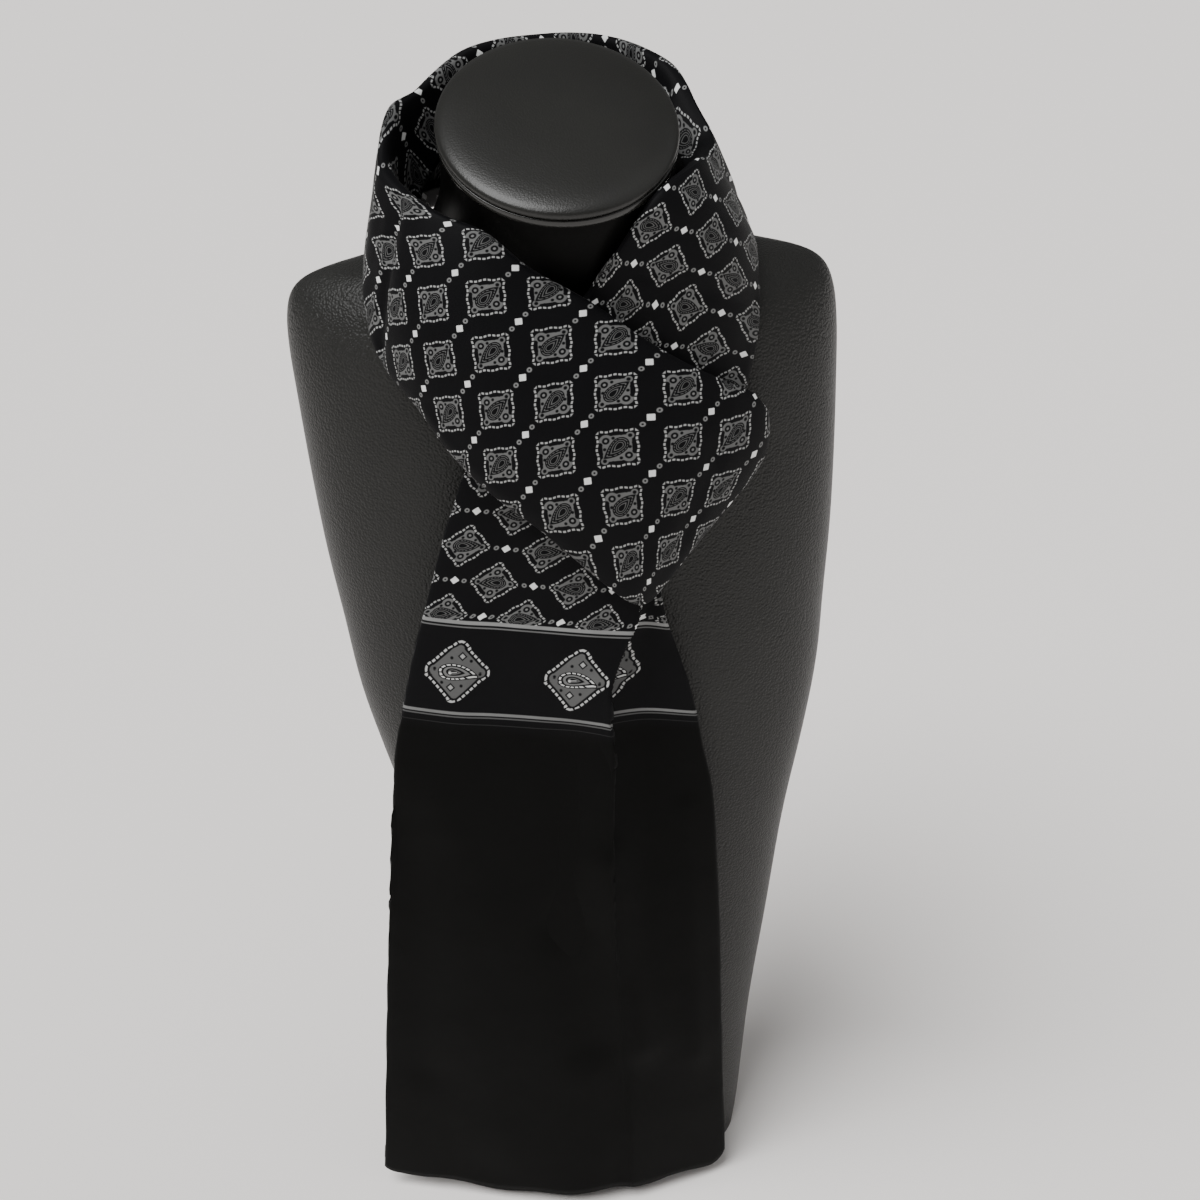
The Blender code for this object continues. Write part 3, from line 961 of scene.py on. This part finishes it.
def end_grid(lines, steps, behind, lower):
    """Lines across the front end, and the run along each: behind and lower are for its back layer."""
    rows = np.array(END_ROWS, float)
    sections = []
    for place in np.linspace(0, len(rows) - 1, lines + 1):
        row = table_at(rows, place)
        centre = row[6]
        line = [(row[i], row[i + 1], row[0] + row[1] * (row[i] - centre)) for i in range(2, len(row), 2)]
        sections.append(evenly(line, steps))
    grid = np.array(sections)
    run = np.array([run_along(section) for section in sections])
    side = np.minimum(run, run[:, -1:] - run)
    hem = np.clip(1 - (grid[..., 2] - HEM_HEIGHT) / HEM_SHAPED, 0, 1)
    near = np.clip(1 - side / HEM_CORNER, 0, 1)
    grid[..., 2] += hem * HEM_CORNER * (1 - np.sqrt(1 - near**2))
    middle = np.clip(side / HEM_MIDDLE, 0, 1)
    waves = sum(height * np.sin(run / length + turn) for height, length, turn in HEM_WAVES)
    grid[..., 2] += hem * (waves - lower * middle)
    grid[..., 1] += behind * np.clip(side / LAYER_EASE, 0, 1)
    return grid, run


# The front end on the print: the height that it is measured from and the print's place there
# at x 0, the scales across, round and along it, how the print leans to the side above and below
# a level, how it falls to the right (from a height, over so far up), and the scale where the
# cloth turns back
PRINT_HEIGHT = 500
PRINT_MIDDLE = (83.0, 26.0)
PRINT_ACROSS = 1.03
PRINT_RUN = 1.04
PRINT_ALONG = 1.0728
LEAN_ABOVE = 0.364
LEAN_BELOW = 0.2
LEAN_DOWN = 30
FALL = 0.102
FALL_FROM = 330
FALL_OVER = 80
HIDDEN_PRINT = 1.9


def end_print(grid, run):
    """The front end's place on the print: the repeat above the border leans with the cloth."""
    x, z = grid[..., 0], grid[..., 2]
    above = z - PRINT_HEIGHT
    left = PRINT_MIDDLE[0] + PRINT_ACROSS * x
    left = left - LEAN_ABOVE * np.maximum(above, -LEAN_DOWN) - LEAN_BELOW * np.minimum(above + LEAN_DOWN, 0)
    start = np.argmin(x, axis=1)
    line = np.arange(len(grid))
    first = left[line, start]
    u = first[:, None] + PRINT_RUN * (run - run[line, start][:, None])
    back = np.maximum(-np.diff(x, axis=1, prepend=x[:, :1]), 0)
    back[np.arange(x.shape[1])[None, :] <= start[:, None]] = 0
    u += HIDDEN_PRINT * np.cumsum(back, axis=1)
    fall = np.clip((z - FALL_FROM) / FALL_OVER, 0, 1)
    w = PRINT_MIDDLE[1] + FALL * x * fall + PRINT_ALONG * above
    return np.stack([u, w], axis=2)


class SCARF_OT_front_end(bpy.types.Operator):
    """Build the hanging end: its front layer with the pleat, and the layer behind it"""
    bl_idname = "scarf.front_end"
    bl_label = "Build front end"

    def execute(self, context):
        layer = context.scene.scarf_cloth.layer
        grid, run = end_grid(190, 150, 0.0, 0.0)
        flat = end_print(grid, run)
        normals = sheet_normals(grid)
        shift = np.zeros(grid.shape[:2])
        for x, z, x_2, z_2, half_width, depth in END_CREASES:
            ends = [np.array([x, CREASE_Y, z]), np.array([x_2, CREASE_Y, z_2])]
            shift -= depth * line_pull(grid * [1, 0, 1] + [0, CREASE_Y, 0], ends, half_width)
        shift += unevenness(grid, END_UNEVEN)
        grid[..., 1] -= shift * np.sign(normals[..., 1]) * np.clip(run / CREASE_EASE, 0, 1)
        piece = sheet_object("scarf_end", grid, flat, layer, FINISHES["end"])
        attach(piece, "root")
        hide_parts("scarf_front_end")
        back, back_run = end_grid(110, 60, 3.2, 4.0)
        flat = end_print(back, back_run)
        back_piece = sheet_object("scarf_end_back_layer", back, flat, layer, FINISHES["end"])
        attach(back_piece, "root")
        return {"FINISHED"}


class SCARF_OT_hidden_end(bpy.types.Operator):
    """Build the end that hangs behind the front one"""
    bl_idname = "scarf.hidden_end"
    bl_label = "Build hidden end"

    def execute(self, context):
        rows = np.array(HIDDEN_ROWS, float)
        grid = []
        for place in np.linspace(len(rows) - 1, 0, 49):
            z, slope, x, half_width, y, sag = table_at(rows, place)
            part = np.linspace(-1, 1, 31)
            across = half_width * part
            grid.append(np.stack([x + across, y + sag * part**2, z + slope * half_width * part], axis=1))
        grid = np.array(grid)
        grid[..., 1] += unevenness(grid, HIDDEN_UNEVEN)
        layer = context.scene.scarf_cloth.layer
        piece = sheet_object("scarf_hidden_layer", grid, grid[..., [0, 2]], layer, FINISHES["end"])
        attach(piece, "root")
        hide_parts("scarf_hidden_end")
        return {"FINISHED"}


class SCARF_OT_bust(bpy.types.Operator):
    """Build the bust with its neck, rim and slanted cap"""
    bl_idname = "scarf.bust"
    bl_label = "Build bust"

    def execute(self, context):
        segments = context.scene.scarf_bust.segments
        rows = np.array(BUST_ROWS, float)
        places = np.linspace(0, len(rows) - 1, (len(rows) - 1) * BUST_STEPS + 1)
        torso_rings = [bust_ring(table_at(rows, place), segments) for place in places]
        rim_rings = [cap_ring(*ring, segments) for ring in RIM_RINGS]
        cap_rings = [cap_ring(*ring, segments) for ring in CAP_RINGS]
        parts = (
            ("bust_torso_skin", torso_rings, "leather", "bust_torso", "bust_leather"),
            ("bust_rim_skin", rim_rings, "rim", "bust_neck_rim", "bust_cap"),
            ("bust_cap_skin", cap_rings, "cap", "bust_neck_cap", "bust_cap"),
        )
        for name, rings, finish, node, slot in parts:
            piece = ring_object(name, rings, FINISHES[finish])
            # The neck and the shoulder tops beside it, inside the collars, take the neck leather: smooth
            # leather darkened with painted shade
            if finish == "leather":
                piece.data.materials.append(FINISHES["neck"])
                for face in piece.data.polygons:
                    aside = abs(face.center.x - BUST_LEAN * face.center.z)
                    face.material_index = int(face.center.z > NECK_FROM and aside < NECK_REACH)
            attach(piece, "root")
            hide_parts(node)
        return {"FINISHED"}


class SCARF_OT_stage(bpy.types.Operator):
    """Build the floor, the lights and the camera"""
    bl_idname = "scarf.stage"
    bl_label = "Build stage"

    def execute(self, context):
        settings = context.scene.scarf_stage
        shape = bmesh.new()
        bmesh.ops.create_grid(shape, x_segments=1, y_segments=1, size=FLOOR_REACH)
        mesh = bpy.data.meshes.new("floor")
        shape.to_mesh(mesh)
        shape.free()
        finish = bpy.data.materials.new("pale floor")
        finish.use_nodes = True
        shader = finish.node_tree.nodes["Principled BSDF"]
        shader.inputs["Base Color"].default_value = (*settings.floor, 1.0)
        shader.inputs["Roughness"].default_value = 0.9
        shader.inputs["Specular IOR Level"].default_value = 0.1
        mesh.materials.append(finish)
        floor = bpy.data.objects.new("floor", mesh)
        context.scene.collection.objects.link(floor)

        world = bpy.data.worlds.new("studio")
        world.use_nodes = True
        backdrop = world.node_tree.nodes["Background"]
        backdrop.inputs["Color"].default_value = (1.0, 0.99, 0.98, 1.0)
        backdrop.inputs["Strength"].default_value = settings.air
        context.scene.world = world
        for name, toward, spread in LIGHTS:
            lamp = bpy.data.lights.new(name, "SUN")
            lamp.angle = math.radians(spread)
            lamp.energy = getattr(settings, name)
            made = bpy.data.objects.new(name, lamp)
            made.rotation_euler = Vector(toward).to_track_quat("Z", "Y").to_euler()
            context.scene.collection.objects.link(made)

        turn, dip, roll = (math.radians(value) for value in (CAMERA_TURN, CAMERA_DIP, CAMERA_ROLL))
        ahead = Vector((math.sin(turn) * math.cos(dip), math.cos(turn) * math.cos(dip), -math.sin(dip)))
        level = Vector((math.cos(turn), -math.sin(turn), 0.0))
        above = level.cross(ahead)
        right = level * math.cos(roll) - above * math.sin(roll)
        up = level * math.sin(roll) + above * math.cos(roll)
        lens = bpy.data.cameras.new("camera")
        lens.lens = CAMERA_LENS
        lens.sensor_width = CAMERA_SENSOR
        camera = bpy.data.objects.new("camera", lens)
        turned = Matrix((right, up, -ahead)).transposed()
        camera.matrix_world = Matrix.Translation(CAMERA_PLACE) @ turned.to_4x4()
        context.scene.collection.objects.link(camera)
        context.scene.camera = camera
        return {"FINISHED"}


class SCARF_PT_panel(bpy.types.Panel):
    """Lists the scarf's pieces and settings"""
    bl_idname = "SCARF_PT_panel"
    bl_label = "Wound scarf"
    bl_space_type = "VIEW_3D"
    bl_region_type = "UI"
    bl_category = "Scarf"

    def draw(self, context):
        for name in ("scarf_cloth", "scarf_bust", "scarf_stage"):
            box = self.layout.box()
            settings = getattr(context.scene, name)
            for label in settings.__annotations__:
                box.prop(settings, label)
        for step in STEPS:
            self.layout.operator(step)


CLASSES = (
    ScarfClothSettings,
    ScarfBustSettings,
    ScarfStageSettings,
    SCARF_OT_finishes,
    SCARF_OT_wound_cloth,
    SCARF_OT_front_end,
    SCARF_OT_hidden_end,
    SCARF_OT_bust,
    SCARF_OT_stage,
    SCARF_PT_panel,
)
STEPS = (
    "scarf.finishes",
    "scarf.wound_cloth",
    "scarf.front_end",
    "scarf.hidden_end",
    "scarf.bust",
    "scarf.stage",
)


def register():
    for made in CLASSES:
        bpy.utils.register_class(made)
    bpy.types.Scene.scarf_cloth = PointerProperty(type=ScarfClothSettings)
    bpy.types.Scene.scarf_bust = PointerProperty(type=ScarfBustSettings)
    bpy.types.Scene.scarf_stage = PointerProperty(type=ScarfStageSettings)


def unregister():
    for name in ("scarf_cloth", "scarf_bust", "scarf_stage"):
        delattr(bpy.types.Scene, name)
    for made in reversed(CLASSES):
        bpy.utils.unregister_class(made)


def main():
    register()
    bpy.ops.scarf.finishes()
    bpy.ops.scarf.wound_cloth()
    bpy.ops.scarf.front_end()
    bpy.ops.scarf.hidden_end()
    bpy.ops.scarf.bust()
    bpy.ops.scarf.stage()


if __name__ == "__main__":
    main()
